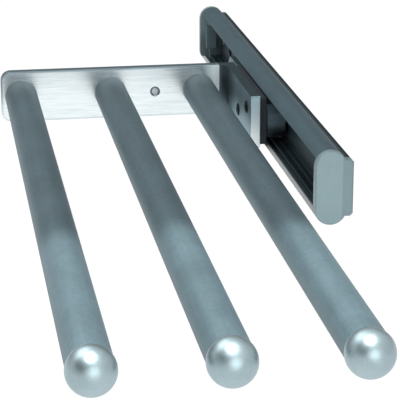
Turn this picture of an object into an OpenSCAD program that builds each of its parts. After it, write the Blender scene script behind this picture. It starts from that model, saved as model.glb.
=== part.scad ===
// Pull-out towel rail with three arms for the side wall of a cabinet.
// The wall is the plane X = 0 and the towel rail lies on its -X side. The arms point along -Y,
// which is also the way they pull out, and Z is up. The origin is on the wall, midway between
// the two mounting screws. All pieces are drawn where they stand with the arms half in.

/* [Arms] */
// Outside diameter of an arm tube
tube_d = 16; // [15:0.5:18]
// Wall of an arm tube
tube_wall = 1.2; // [1:0.1:1.5]
// Length of an arm tube, from the plate to its ball end
tube_l = 347.5; // [250:0.5:450]
// Distance between the axes of two neighbouring arms
arm_pitch = 45; // [40:1:55]
// Distance from the wall to the axis of the nearest arm
first_arm = 37.5; // [35:0.5:45]
// How far a ball end stands out beyond the tube all round
ball_over = 0.55; // [0.3:0.05:1]
// Length of the spigot of a ball end inside its tube
spigot_l = 14; // [10:1:20]
// Length of the threaded plug at the root of a tube
plug_l = 18; // [15:1:25]

/* [Arm screws] */
// Diameter of the screws that hold the arms
arm_screw_d = 6; // [5:0.5:6]
// Length of those screws under the head
arm_screw_l = 18; // [16:1:20]
// Diameter of their heads
arm_head_d = 10.5; // [10:0.5:11]
// Height of their heads
arm_head_h = 3.4; // [3:0.1:4]
// Width across the flats of their hexagon sockets
arm_socket_w = 4; // [3:0.5:5]
// Diameter of the washers under the heads
washer_d = 12.5; // [12:0.5:15]
// Thickness of those washers
washer_t = 1.4; // [1:0.1:2]

/* [Bracket] */
// Height of the plate that carries the arms
plate_h = 25.6; // [22:0.2:28]
// Thickness of the plate and of its flange
bracket_t = 4.6; // [4:0.1:5]
// From the axis of the farthest arm to the free end of the plate
plate_end = 10; // [9:0.5:14]
// Corner radius of the free end
plate_corner_r = 5; // [2:0.5:8]
// Distance from the wall to the right face of the flange
flange_out = 18.7; // [18:0.1:20]
// Length of the flange in front of the plate
flange_l = 67; // [60:1:80]
// Fillet in the corner between plate and flange
fillet_r = 4; // [2:0.5:6]

/* [Bracket screws] */
// Diameter of the two screws through the flange
flange_screw_d = 3.5; // [3:0.5:4]
// Diameter of their countersunk heads
flange_head_d = 6.4; // [6:0.2:7]
// Depth of those heads
flange_head_h = 1.9; // [1.6:0.1:2.2]
// How far they stand out of the flange
flange_head_rise = 0.7; // [0.3:0.1:0.8]
// How deep they reach into the carriage bar
flange_screw_bite = 5; // [4:0.5:6]
// Width across the flats of their sockets
flange_socket_w = 2; // [1.5:0.5:2.5]
// Distance of the rear screw behind the front of the flange
rear_screw_y = 33; // [24:1:55]
// Height of the rear screw
rear_screw_z = -2; // [-5:0.5:5]
// Distance of the front screw behind the front of the flange
front_screw_y = 11; // [6:1:16]
// Height of the front screw
front_screw_z = 5; // [-5:0.5:5]

/* [Plate buffer] */
// Diameter of the rubber buffer behind the plate
plate_buffer_d = 12; // [10:1:16]
// Thickness of that buffer
plate_buffer_t = 6; // [4:0.5:8]
// Diameter of its threaded stud
stud_d = 3.6; // [3:0.2:4]
// Width of the dark ring that is sunk round the stud in the plate
stud_ring_w = 0.65; // [0.4:0.05:0.8]
// Depth of that ring
stud_ring_h = 1.2; // [0.8:0.1:2]

/* [Rail] */
// Length of the rail profile without its end caps
rail_l = 300; // [280:2:360]
// Height of the rail profile
rail_h = 32; // [31.6:0.2:33]
// Depth of the rail from the wall
rail_depth = 16.4; // [16.2:0.1:16.8]
// Radius of its round top and bottom
round_r = 6.9; // [6.8:0.05:7]
// Wall of the round top and bottom
rail_wall = 1.6; // [1.5:0.05:1.7]
// Height of its flat base on the wall
base_h = 24.8; // [24:0.2:26]
// Thickness of that base
base_t = 4.6; // [4.4:0.1:5]
// Bevel along the corners of the base at the wall
base_bevel = 1.2; // [0.8:0.1:1.2]
// Height of the mouth that the carriage looks out of
mouth_h = 24.8; // [24.6:0.1:26]
// Width and depth of the shadow groove along the edges of the base
shadow_w = 0.6; // [0.4:0.1:0.8]
// Distance of that groove from the wall
shadow_in = 1.4; // [1.3:0.1:1.6]
// Thickness of an end cap
cap_t = 4; // [3:0.5:6]
// Depth of the plug by which an end cap is held
cap_plug_l = 5; // [4:0.5:6]

/* [Mounting screws] */
// Distance between the two mounting holes
mount_pitch = 224; // [192:32:256]
// Diameter of a mounting hole
mount_hole_d = 4.6; // [4:0.2:5]
// Diameter of its countersink, and of the hole in the runner over it
mount_sink_d = 9.2; // [8:0.2:9.6]
// Depth of its countersink
mount_sink_h = 2.3; // [2:0.1:2.5]

/* [Ball runner] */
// Gap between an end of the fixed runner and the plug of the end cap
runner_end_gap = 2; // [1:0.5:4]
// Height of the fixed runner
runner_h = 23.4; // [23:0.1:23.6]
// Depth of the fixed runner
runner_depth = 7.3; // [7:0.1:7.6]
// Thickness of its sheet
runner_t = 1.2; // [1.1:0.05:1.3]
// Diameter of a bearing ball
bearing_d = 3.2; // [3:0.1:3.3]
// Depth of the grooves in which the balls roll
race_depth = 0.5; // [0.4:0.05:0.55]
// Distance of the rows of balls from the back of the runner
race_in = 4.7; // [4.6:0.1:5]
// Balls in each of the two rows
balls_per_row = 9; // [5:1:9]
// Distance between two balls of a row
bearing_pitch = 9; // [6:0.5:9]
// Length of the ball cage
cage_l = 84; // [80:1:90]
// Thickness of the ball cage
cage_t = 0.7; // [0.6:0.05:0.8]
// Distance between two rivets of the fixed runner
rivet_pitch = 90; // [80:1:92]
// Least distance of a rivet from an end of the runner
rivet_end = 6; // [5:0.5:8]
// Diameter of a rivet
rivet_d = 3.2; // [3:0.1:3.6]
// Diameter of a rivet's flat head
rivet_head_d = 6; // [5:0.5:7]
// How deep a rivet reaches into the rail
rivet_bite = 3; // [2:0.5:3]

/* [Carriage] */
// Where the front face of the plate stands, behind the middle of the rail
plate_y = 22; // [10:1:40]
// Length of the carriage bar
bar_l = 110; // [100:1:120]
// How far the bar reaches ahead of the flange
bar_ahead = 2; // [0:0.5:6]
// Length and height of the bevels by which its ends run in
bar_lead = 4; // [2:0.5:4.5]
// Thickness of the spacer between the flange and the bar
spacer_t = 3.6; // [3:0.1:3.8]
// Height of the spacer
spacer_h = 23; // [20:0.5:23]
// Length of the spacer
spacer_l = 66; // [60:1:68]
// How far the spacer stays behind the front of the flange
spacer_back = 2; // [1:0.5:4]
// Thickness of the rubber buffers at the ends of the rail
end_buffer_t = 3; // [2:0.5:4]
// Height of those buffers
end_buffer_h = 13; // [10:0.5:15]
// Width of those buffers
end_buffer_w = 6; // [5:0.5:7]
// Diameter of the peg that holds such a buffer
peg_d = 3; // [2.5:0.1:3.5]
// Length of that peg
peg_l = 2.6; // [2:0.1:3]

/* [Clearances] */
// Radial clearance of a plug, screw or stud in its hole
seat_gap = 0.05; // [0.03:0.01:0.08]
// Radial clearance between a ball and its groove
race_gap = 0.05; // [0.02:0.01:0.08]
// Gap on each side of the web of the ball cage
cage_gap = 0.4; // [0.35:0.05:0.45]
// Radial clearance of a ball in its pocket of the cage
pocket_gap = 0.15; // [0.1:0.05:0.2]
// Gap all round the plug of an end cap
cap_gap = 0.1; // [0.05:0.05:0.2]

/* [Hidden] */
$fn = 64;
over = 1;

// Arms
tube_r = tube_d / 2;
bore_r = tube_r - tube_wall;
ball_r = tube_r + ball_over;
ball_set = sqrt(ball_r * ball_r - tube_r * tube_r);
tube_tip = plate_y - tube_l;
arm_x = [for (i = [0:2]) -(first_arm + i * arm_pitch)];
INNER = 0;
MIDDLE = 1;
OUTER = 2;

// Bracket
plate_back = plate_y + bracket_t;
plate_left = arm_x[OUTER] - plate_end;
flange_x = -flange_out;
flange_left = flange_x - bracket_t;
flange_front = plate_y - flange_l;
buffer_x = (arm_x[INNER] + arm_x[MIDDLE]) / 2;
stud_tip = plate_y + stud_ring_h / 2;

// Rail
round_x = -(rail_depth - round_r);
round_z = rail_h / 2 - round_r;
cavity_r = round_r - rail_wall;
web_x = round_x + cavity_r;
rail_end = rail_l / 2;
plug_face = rail_end - cap_plug_l;
stop_face = plug_face - end_buffer_t;

// Ball runner
runner_l = rail_l - 2 * (cap_plug_l + runner_end_gap);
runner_corner_r = runner_h / 2 - round_z;
runner_web = web_x - runner_t;
runner_lip = web_x - runner_depth;
race_x = web_x - race_in;
race_r = bearing_d / 2 + race_gap;
race_z = runner_h / 2 - runner_t + race_depth - race_r;
rivets = 1 + floor((runner_l - 2 * rivet_end) / rivet_pitch);

// Carriage
bar_right = runner_web - 2 * cage_gap - cage_t;
bar_left = flange_x + spacer_t;
bar_half = race_z - race_r + race_depth;
bar_front = flange_front - bar_ahead;
bar_middle = bar_front + bar_l / 2;
cage_right = runner_web - cage_gap;
cage_lip = runner_lip;
cage_middle = bar_middle / 2;
buffer_mid_x = (bar_left + bar_right) / 2;

// Sets a flat outline, drawn in X and Z, upright and makes it run from y0 to y1
module along_y(y0, y1) {
    translate([0, y1, 0]) rotate([90, 0, 0]) linear_extrude(y1 - y0) children();
}

// Rod with its axis along Y, from y0 to y1
module y_rod(x, z, r, y0, y1) {
    translate([x, y1, z]) rotate([90, 0, 0]) cylinder(h = y1 - y0, r = r);
}

// Rod or cone with its axis along X, from x0 to x1
module x_rod(y, z, x0, x1, r0, r1) {
    translate([x0, y, z]) rotate([0, 90, 0]) cylinder(h = x1 - x0, r1 = r0, r2 = r1);
}

// Outline with round top and bottom: radius r about the rail's two centres
module long_round(r) {
    for (side = [-1, 1]) translate([round_x, side * round_z]) circle(r);
    translate([round_x - r, -round_z]) square([2 * r, 2 * round_z]);
}

// Outline of the rail, which the end caps repeat
module rail_outline() {
    difference() {
        union() {
            long_round(round_r);
            translate([-base_t, -base_h / 2]) square([base_t, base_h]);
        }
        for (side = [-1, 1])
            translate([0, side * base_h / 2]) rotate(45)
                square(base_bevel * sqrt(2), center = true);
    }
}

// Section of the groove for the upper or the lower row of balls
module race_section() {
    for (side = [-1, 1]) translate([race_x, side * race_z]) circle(race_r);
}

// Channel section, open towards -X, with rounded outer corners
module channel(left, right, half, corner) {
    translate([left, -half]) square([right - corner - left, 2 * half]);
    translate([left, -half + corner]) square([right - left, 2 * (half - corner)]);
    for (side = [-1, 1]) translate([right - corner, side * (half - corner)]) circle(corner);
}

// Puts what follows at each of the two screws of the flange
module at_flange_screws() {
    translate([0, flange_front + rear_screw_y, rear_screw_z]) children();
    translate([0, flange_front + front_screw_y, front_screw_z]) children();
}

module mounting_holes() {
    for (side = [-1, 1]) {
        y = side * mount_pitch / 2;
        x_rod(y, 0, web_x - over, over, mount_hole_d / 2, mount_hole_d / 2);
        x_rod(y, 0, web_x, web_x + mount_sink_h, mount_sink_d / 2, mount_hole_d / 2);
    }
}

function rivet_y(i) = (i - (rivets - 1) / 2) * rivet_pitch;

module rail_profile() {
    color("silver")
    difference() {
        along_y(-rail_end, rail_end) difference() {
            rail_outline();
            long_round(cavity_r);
            translate([-rail_depth - over, -mouth_h / 2])
                square([rail_depth + round_x + over, mouth_h]);
            for (side = [-1, 1])
                translate([-shadow_in - shadow_w / 2, side * base_h / 2])
                    square([shadow_w, 2 * shadow_w], center = true);
        }
        mounting_holes();
        for (i = [0:rivets - 1]) {
            r = rivet_d / 2 + seat_gap;
            x_rod(rivet_y(i), 0, web_x - over, web_x + rivet_bite + seat_gap, r, r);
        }
    }
}

// End cap: a plate with the rail's outline and a plug that sits in the rail. The side is -1
// for the front end and 1 for the rear end.
module end_cap(side) {
    outer = side * (rail_end + cap_t);
    inner = side * rail_end;
    face = side * plug_face;
    difference() {
        union() {
            along_y(min(inner, outer), max(inner, outer)) rail_outline();
            along_y(min(face, inner), max(face, inner)) intersection() {
                long_round(cavity_r - cap_gap);
                translate([runner_lip, -rail_h / 2]) square([rail_depth, rail_h]);
            }
        }
        hole = face + side * (peg_l + seat_gap);
        y_rod(buffer_mid_x, 0, peg_d / 2 + seat_gap,
            min(face - side * over, hole), max(face - side * over, hole));
    }
}

module front_end_cap() {
    color("lightsteelblue") end_cap(-1);
}

module rear_end_cap() {
    color("lightsteelblue") end_cap(1);
}

// Section of the whole runner: a channel with a groove for the balls in each lip
module runner_section() {
    difference() {
        channel(runner_lip, web_x, runner_h / 2, runner_corner_r);
        channel(runner_lip - over, runner_web, runner_h / 2 - runner_t,
            runner_corner_r - runner_t);
        race_section();
    }
}

// Middle strip of the runner, which is riveted to the rail, up to the corners of the channel
module fixed_runner() {
    color("dimgray")
    difference() {
        along_y(-runner_l / 2, runner_l / 2) intersection() {
            runner_section();
            translate([runner_lip, -round_z]) square([runner_depth, 2 * round_z]);
        }
        for (side = [-1, 1])
            x_rod(side * mount_pitch / 2, 0, runner_web - over, web_x + over,
                mount_sink_d / 2, mount_sink_d / 2);
        for (i = [0:rivets - 1]) {
            r = rivet_d / 2 + seat_gap;
            x_rod(rivet_y(i), 0, runner_web - over, web_x + over, r, r);
            x_rod(rivet_y(i), 0, runner_web, web_x, rivet_head_d / 2 + seat_gap, r);
        }
    }
}

// Upper or lower ball track of the runner: a corner of the channel and its grooved lip. The
// side is 1 for the upper track and -1 for the lower one.
module ball_track(side) {
    color("slategray")
    along_y(-runner_l / 2, runner_l / 2) intersection() {
        runner_section();
        translate([runner_lip, min(side * round_z, side * runner_h / 2)])
            square([runner_depth, runner_h / 2 - round_z]);
    }
}

module upper_ball_track() {
    ball_track(1);
}

module lower_ball_track() {
    ball_track(-1);
}

module runner_rivets() {
    color("gray")
    for (i = [0:rivets - 1]) {
        x_rod(rivet_y(i), 0, runner_web, web_x, rivet_head_d / 2, rivet_d / 2);
        x_rod(rivet_y(i), 0, web_x, web_x + rivet_bite, rivet_d / 2, rivet_d / 2);
    }
}

// Rubber buffer on the plug of an end cap, with the peg that holds it
module end_buffer(side) {
    face = side * plug_face;
    stop = side * stop_face;
    along_y(min(face, stop), max(face, stop))
        translate([buffer_mid_x, 0]) square([end_buffer_w, end_buffer_h], center = true);
    peg = face + side * peg_l;
    y_rod(buffer_mid_x, 0, peg_d / 2, min(face, peg), max(face, peg));
}

module front_buffer() {
    color("black") end_buffer(-1);
}

module rear_buffer() {
    color("black") end_buffer(1);
}

function ball_y(i) = cage_middle + (i - (balls_per_row - 1) / 2) * bearing_pitch;

module ball_cage() {
    half = race_z + cage_t / 2;
    color("goldenrod")
    difference() {
        along_y(cage_middle - cage_l / 2, cage_middle + cage_l / 2) difference() {
            translate([cage_lip, -half]) square([cage_right - cage_lip, 2 * half]);
            translate([cage_lip - over, -half + cage_t])
                square([cage_right - cage_t - cage_lip + over, 2 * (half - cage_t)]);
        }
        for (i = [0:balls_per_row - 1])
            translate([race_x, ball_y(i), 0])
                for (side = [-1, 1]) translate([0, 0, side * race_z])
                    cylinder(h = 2 * cage_t, r = bearing_d / 2 + pocket_gap, center = true);
    }
}

module bearing_balls() {
    color("white")
    for (i = [0:balls_per_row - 1], side = [-1, 1])
        translate([race_x, ball_y(i), side * race_z]) sphere(r = bearing_d / 2);
}

module carriage_bar() {
    cut = bar_lead * sqrt(2);
    color("darkgray")
    difference() {
        along_y(bar_front, bar_front + bar_l) difference() {
            translate([bar_left, -bar_half]) square([bar_right - bar_left, 2 * bar_half]);
            race_section();
        }
        for (y = [bar_front, bar_front + bar_l], side = [-1, 1])
            translate([buffer_mid_x, y, side * bar_half]) rotate([45, 0, 0])
                cube([bar_right - bar_left + 2 * over, cut, cut], center = true);
        at_flange_screws() {
            r = flange_screw_d / 2 + seat_gap;
            x_rod(0, 0, bar_left - over, bar_left + flange_screw_bite + seat_gap, r, r);
        }
    }
}

module carriage_spacer() {
    front = flange_front + spacer_back;
    color("darkslategray")
    difference() {
        translate([flange_x, front, -spacer_h / 2]) cube([spacer_t, spacer_l, spacer_h]);
        at_flange_screws() {
            r = flange_screw_d / 2 + seat_gap;
            x_rod(0, 0, flange_x - over, bar_left + over, r, r);
        }
    }
}

module arm_bracket() {
    hole_r = arm_screw_d / 2 + seat_gap;
    color("whitesmoke")
    difference() {
        union() {
            along_y(plate_y, plate_back) {
                translate([plate_left + plate_corner_r, -plate_h / 2])
                    square([flange_x - plate_left - plate_corner_r, plate_h]);
                translate([plate_left, -plate_h / 2 + plate_corner_r])
                    square([plate_corner_r, plate_h - 2 * plate_corner_r]);
                for (side = [-1, 1])
                    translate([plate_left + plate_corner_r, side * (plate_h / 2 - plate_corner_r)])
                        circle(plate_corner_r);
            }
            translate([flange_left, flange_front, -plate_h / 2])
                cube([bracket_t, plate_y - flange_front, plate_h]);
            translate([0, 0, -plate_h / 2]) linear_extrude(plate_h) difference() {
                translate([flange_left - fillet_r, plate_y - fillet_r]) square(fillet_r);
                translate([flange_left - fillet_r, plate_y - fillet_r]) circle(fillet_r);
            }
        }
        for (x = arm_x) y_rod(x, 0, hole_r, plate_y - over, plate_back + over);
        y_rod(buffer_x, 0, stud_d / 2 + seat_gap, plate_y - over, plate_back + over);
        y_rod(buffer_x, 0, stud_d / 2 + stud_ring_w, plate_y - over, plate_y + stud_ring_h);
        at_flange_screws() {
            r = flange_screw_d / 2 + seat_gap;
            x_rod(0, 0, flange_left - over, flange_x + over, r, r);
            x_rod(0, 0, flange_left, flange_left + flange_head_h,
                flange_head_d / 2 + seat_gap, r);
        }
    }
}

module bracket_screws() {
    color("dimgray")
    at_flange_screws() difference() {
        union() {
            x_rod(0, 0, flange_left - flange_head_rise, flange_left,
                flange_head_d / 2 - flange_head_rise, flange_head_d / 2);
            x_rod(0, 0, flange_left, flange_left + flange_head_h,
                flange_head_d / 2, flange_screw_d / 2);
            x_rod(0, 0, flange_left + flange_head_h, bar_left + flange_screw_bite,
                flange_screw_d / 2, flange_screw_d / 2);
        }
        translate([flange_left - over, 0, 0]) rotate([0, 90, 0])
            cylinder(h = over + flange_head_h, d = flange_socket_w / cos(30), $fn = 6);
    }
}

module arm_tube(i) {
    color("slategray")
    along_y(tube_tip, plate_y) translate([arm_x[i], 0]) difference() {
        circle(tube_r);
        circle(bore_r);
    }
}

module inner_arm_tube() {
    arm_tube(INNER);
}

module middle_arm_tube() {
    arm_tube(MIDDLE);
}

module outer_arm_tube() {
    arm_tube(OUTER);
}

// Plug in the root of a tube, with the hole for the arm's screw right through it
module root_plug(i) {
    color("darkgray")
    along_y(plate_y - plug_l, plate_y) translate([arm_x[i], 0]) difference() {
        circle(bore_r - seat_gap);
        circle(arm_screw_d / 2 + seat_gap);
    }
}

module inner_root_plug() {
    root_plug(INNER);
}

module middle_root_plug() {
    root_plug(MIDDLE);
}

module outer_root_plug() {
    root_plug(OUTER);
}

module arm_screws() {
    head = plate_back + washer_t;
    color("gray")
    for (x = arm_x) difference() {
        union() {
            y_rod(x, 0, arm_screw_d / 2, head - arm_screw_l, head);
            y_rod(x, 0, arm_head_d / 2, head, head + arm_head_h);
        }
        translate([x, head + arm_head_h + over, 0]) rotate([90, 0, 0])
            cylinder(h = over + arm_head_h / 2, d = arm_socket_w / cos(30), $fn = 6);
    }
}

module arm_washers() {
    color("silver")
    along_y(plate_back, plate_back + washer_t) for (x = arm_x) translate([x, 0]) difference() {
        circle(washer_d / 2);
        circle(arm_screw_d / 2 + seat_gap);
    }
}

// Ball end: a ball cut flat where it meets the tube, with a spigot that fills the bore
module ball_end(i) {
    color("gainsboro")
    translate([arm_x[i], tube_tip - ball_set, 0]) {
        intersection() {
            sphere(r = ball_r);
            translate([-ball_r, -ball_r - over, -ball_r])
                cube([2 * ball_r, ball_r + over + ball_set, 2 * ball_r]);
        }
        y_rod(0, 0, bore_r - seat_gap, 0, ball_set + spigot_l);
    }
}

module inner_ball_end() {
    ball_end(INNER);
}

module middle_ball_end() {
    ball_end(MIDDLE);
}

module outer_ball_end() {
    ball_end(OUTER);
}

module plate_buffer() {
    color("black")
    along_y(plate_back, plate_back + plate_buffer_t) translate([buffer_x, 0]) difference() {
        circle(plate_buffer_d / 2);
        circle(stud_d / 2 + seat_gap);
    }
}

module buffer_stud() {
    color("white") y_rod(buffer_x, 0, stud_d / 2, stud_tip, plate_back + plate_buffer_t / 2);
}

rail_profile();
front_end_cap();
rear_end_cap();
fixed_runner();
upper_ball_track();
lower_ball_track();
runner_rivets();
front_buffer();
rear_buffer();
ball_cage();
bearing_balls();
carriage_bar();
carriage_spacer();
arm_bracket();
bracket_screws();
inner_arm_tube();
middle_arm_tube();
outer_arm_tube();
inner_root_plug();
middle_root_plug();
outer_root_plug();
arm_screws();
arm_washers();
inner_ball_end();
middle_ball_end();
outer_ball_end();
plate_buffer();
buffer_stud();
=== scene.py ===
"""Pull-out towel rail with three arms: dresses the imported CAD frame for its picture.

Lengths are metres in the part's own frame. X = 0 is the cabinet wall, the arms point along -Y
and Z is up. Each sub-assembly is a class that builds its pieces and gives them their finishes.
"""

import logging
import math
from collections.abc import Callable, Sequence
from dataclasses import dataclass
from enum import Enum
from typing import ClassVar

import bmesh
import bpy
from mathutils import Matrix, Vector

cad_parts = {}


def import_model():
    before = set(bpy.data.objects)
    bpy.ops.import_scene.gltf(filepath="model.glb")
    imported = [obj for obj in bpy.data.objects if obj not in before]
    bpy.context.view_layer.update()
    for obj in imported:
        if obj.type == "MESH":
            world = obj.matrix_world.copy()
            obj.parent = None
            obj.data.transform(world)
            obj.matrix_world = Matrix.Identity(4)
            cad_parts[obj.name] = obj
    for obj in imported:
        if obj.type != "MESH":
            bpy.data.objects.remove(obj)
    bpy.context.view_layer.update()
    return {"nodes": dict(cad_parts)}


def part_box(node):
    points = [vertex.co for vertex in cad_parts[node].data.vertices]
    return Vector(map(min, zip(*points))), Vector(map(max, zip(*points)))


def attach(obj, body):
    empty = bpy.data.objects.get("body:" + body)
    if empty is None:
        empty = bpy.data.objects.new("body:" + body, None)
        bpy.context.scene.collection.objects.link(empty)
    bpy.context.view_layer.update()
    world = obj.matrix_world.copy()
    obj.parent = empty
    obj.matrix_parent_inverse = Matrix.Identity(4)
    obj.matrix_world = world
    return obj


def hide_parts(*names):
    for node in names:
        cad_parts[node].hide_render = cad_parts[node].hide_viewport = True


LOG = logging.getLogger("towel_rail")
MM = 0.001
IN_MM = (1000.0, 1000.0, 1000.0)
WELD = 1e-6
CAD_WELD = 2e-6
BALL_WELD = 1e-7
TOUCH = 0.01 * MM  # a vertex nearer to a face than this lies on it
ROUND_STEPS = 96
SMOOTH_BELOW = math.radians(35.0)
SHARP_ABOVE = math.radians(40.0)
FLAT_BELOW = math.radians(0.5)
Colour = tuple[float, float, float]
Socket = bpy.types.NodeSocket
Chooser = Callable[[bmesh.types.BMEdge], bool]


@dataclass(frozen=True)
class Grain:
    """A cloudy pattern: its features per metre, its octaves and the share that each one keeps."""

    scale: float
    detail: float = 3.0
    rough: float = 0.55


class Value:
    """A number that a shader works out, carried by one output socket."""

    def __init__(self, shade: "Shade", socket: Socket) -> None:
        """Wraps a socket.

        Args:
            shade: The material that the socket belongs to.
            socket: The output that carries the number.
        """
        self.shade = shade
        self.socket = socket

    def _math(self, operation: str, a: "Value | float", b: "Value | float") -> "Value":
        """Adds a Math node.

        Args:
            operation: The node's operation.
            a: First number.
            b: Second number.

        Returns:
            The node's result.
        """
        node = self.shade.node("ShaderNodeMath", {"operation": operation}, {0: a, 1: b})
        return Value(self.shade, node.outputs[0])

    def __add__(self, other: "Value | float") -> "Value":
        """self + other."""
        return self._math("ADD", self, other)

    def __radd__(self, other: float) -> "Value":
        """other + self."""
        return self._math("ADD", other, self)

    def __sub__(self, other: "Value | float") -> "Value":
        """self - other."""
        return self._math("SUBTRACT", self, other)

    def __rsub__(self, other: float) -> "Value":
        """other - self."""
        return self._math("SUBTRACT", other, self)

    def __mul__(self, other: "Value | float") -> "Value":
        """self * other."""
        return self._math("MULTIPLY", self, other)

    def __rmul__(self, other: float) -> "Value":
        """other * self."""
        return self._math("MULTIPLY", other, self)

    def __abs__(self) -> "Value":
        """Size without sign."""
        return self._math("ABSOLUTE", self, 0.0)

    def __pow__(self, other: "Value | float") -> "Value":
        """self to the power of other."""
        return self._math("POWER", self, other)

    def at_most(self, other: "Value | float") -> "Value":
        """The smaller of the two."""
        return self._math("MINIMUM", self, other)

    def at_least(self, other: "Value | float") -> "Value":
        """The larger of the two."""
        return self._math("MAXIMUM", self, other)

    def step(self, low: float, high: float) -> "Value":
        """Rises smoothly from 0 to 1.

        Args:
            low: Where it is still 0.
            high: Where it reaches 1. It may be below low, and the rise is then a fall.

        Returns:
            The smooth step.
        """
        node = self.shade.node(
            "ShaderNodeMapRange",
            {"interpolation_type": "SMOOTHSTEP"},
            {"Value": self, "From Min": low, "From Max": high, "To Min": 0.0, "To Max": 1.0},
        )
        return Value(self.shade, node.outputs[0])


class Shade:
    """One material, or the world, and the nodes that are added to it."""

    def __init__(self, owner: bpy.types.Material | bpy.types.World) -> None:
        """Empties the node tree of a material or world.

        Args:
            owner: What the nodes belong to.
        """
        self.owner = owner
        owner.use_nodes = True
        self.tree = owner.node_tree
        self.tree.nodes.clear()

    @classmethod
    def named(cls, name: str) -> "Shade":
        """Starts a new material of that name."""
        return cls(bpy.data.materials.new(name))

    def node(
        self, kind: str, settings: dict | None = None, sockets: dict | None = None
    ) -> bpy.types.Node:
        """Adds one node: its settings first, then its sockets.

        Args:
            kind: The node's type.
            settings: Its properties by name.
            sockets: Values or links, by a socket's identifier, name or number.

        Returns:
            The new node.
        """
        made = self.tree.nodes.new(kind)
        for key, value in (settings or {}).items():
            setattr(made, key, value)
        for key, value in (sockets or {}).items():
            socket = self.find(made.inputs, key)
            if isinstance(value, Value):
                self.tree.links.new(value.socket, socket)
            elif isinstance(value, Socket):
                self.tree.links.new(value, socket)
            else:
                socket.default_value = value
        return made

    @staticmethod
    def find(sockets: bpy.types.bpy_prop_collection, key: str | int) -> Socket:
        """Finds a socket.

        Args:
            sockets: The inputs or outputs of a node.
            key: The socket's identifier, name or number.

        Returns:
            The socket.
        """
        if isinstance(key, int):
            return sockets[key]
        return next((s for s in sockets if s.identifier == key), None) or sockets[key]

    def place(
        self, scale: Sequence[float] = (1, 1, 1), centre: Sequence[float] = (0, 0, 0)
    ) -> Socket:
        """Object coordinates, stretched and moved.

        Args:
            scale: Factor along X, Y and Z.
            centre: Point that becomes the origin, before the factor is applied.

        Returns:
            The vector socket.
        """
        where = self.node("ShaderNodeTexCoord")
        shift = tuple(-c * s for c, s in zip(centre, scale))
        mapped = self.node(
            "ShaderNodeMapping",
            {"vector_type": "POINT"},
            {"Vector": where.outputs["Object"], "Location": shift, "Scale": tuple(scale)},
        )
        return mapped.outputs["Vector"]

    def axes(self, vector: Socket | None = None) -> tuple[Value, Value, Value]:
        """X, Y and Z of a vector, or of the point in millimetres if none is given."""
        parts = self.node("ShaderNodeSeparateXYZ", None, {0: vector or self.place(IN_MM)})
        return tuple(Value(self, s) for s in parts.outputs)

    def noise(self, vector: Socket, grain: Grain) -> Value:
        """Cloudy noise from 0 to 1 about 0.5.

        Args:
            vector: Where it is read.
            grain: Its pattern.

        Returns:
            The noise.
        """
        sizes = {"Scale": grain.scale, "Detail": grain.detail, "Roughness": grain.rough}
        made = self.node(
            "ShaderNodeTexNoise", {"noise_dimensions": "3D"}, {"Vector": vector, **sizes}
        )
        return Value(self, made.outputs["Fac"])

    def mix(self, share: "Value | float", a: "Colour | Socket", b: "Colour | Socket") -> Socket:
        """Mixes two colours.

        Args:
            share: How much of b shows.
            a: Colour at 0.
            b: Colour at 1.

        Returns:
            The mixed colour.
        """

        def full(colour: "Colour | Socket") -> object:
            """A plain colour with its alpha."""
            return (*colour, 1.0) if isinstance(colour, tuple) else colour

        made = self.node(
            "ShaderNodeMix",
            {"data_type": "RGBA", "clamp_factor": True},
            {"Factor_Float": share, "A_Color": full(a), "B_Color": full(b)},
        )
        return self.find(made.outputs, "Result_Color")

    def seen(self) -> Value:
        """Tells looks from gathered light.

        Returns:
            1 where the camera, a reflection or clear material looks, 0 where light is gathered.
        """
        path = self.node("ShaderNodeLightPath")
        kinds = ("Is Camera Ray", "Is Glossy Ray", "Is Transmission Ray", "Diffuse Depth")
        camera, glossy, clear, bounced = (Value(self, path.outputs[k]) for k in kinds)
        return camera.at_least(glossy).at_least(clear) * (1.0 - bounced.at_most(1.0))

    def bump(
        self, height: Value, depth: float, strength: float = 1.0, under: Socket | None = None
    ) -> Socket:
        """Turns a height into a normal.

        Args:
            height: Height from 0 to 1.
            depth: What a height of 1 stands for, in metres.
            strength: How much of it shows.
            under: The normal of a bump that lies under this one.

        Returns:
            The normal.
        """
        sockets = {"Height": height, "Distance": depth, "Strength": strength}
        if under is not None:
            sockets["Normal"] = under
        return self.node("ShaderNodeBump", None, sockets).outputs["Normal"]


class Run(Enum):
    """Which way the lines that a tool left in the metal run."""

    ALONG_Y = (1.0, 0.02, 1.0)
    ALONG_Z = (1.0, 1.0, 0.02)
    ALONG_XY = (0.02, 0.02, 1.0)


@dataclass(frozen=True)
class Finish:
    """A material whose look is worked out from patterns alone."""

    name: str

    def sockets(self, shade: Shade) -> dict:
        """Works out what the material's Principled shader is given.

        Args:
            shade: The material.

        Returns:
            A value or link for each socket, by its name.
        """
        raise NotImplementedError

    def material(self) -> bpy.types.Material:
        """Builds the material.

        Returns:
            The finished material.
        """
        shade = Shade.named(self.name)
        shader = shade.node("ShaderNodeBsdfPrincipled", None, self.sockets(shade))
        shade.node("ShaderNodeOutputMaterial", None, {"Surface": shader.outputs[0]})
        return shade.owner


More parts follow.
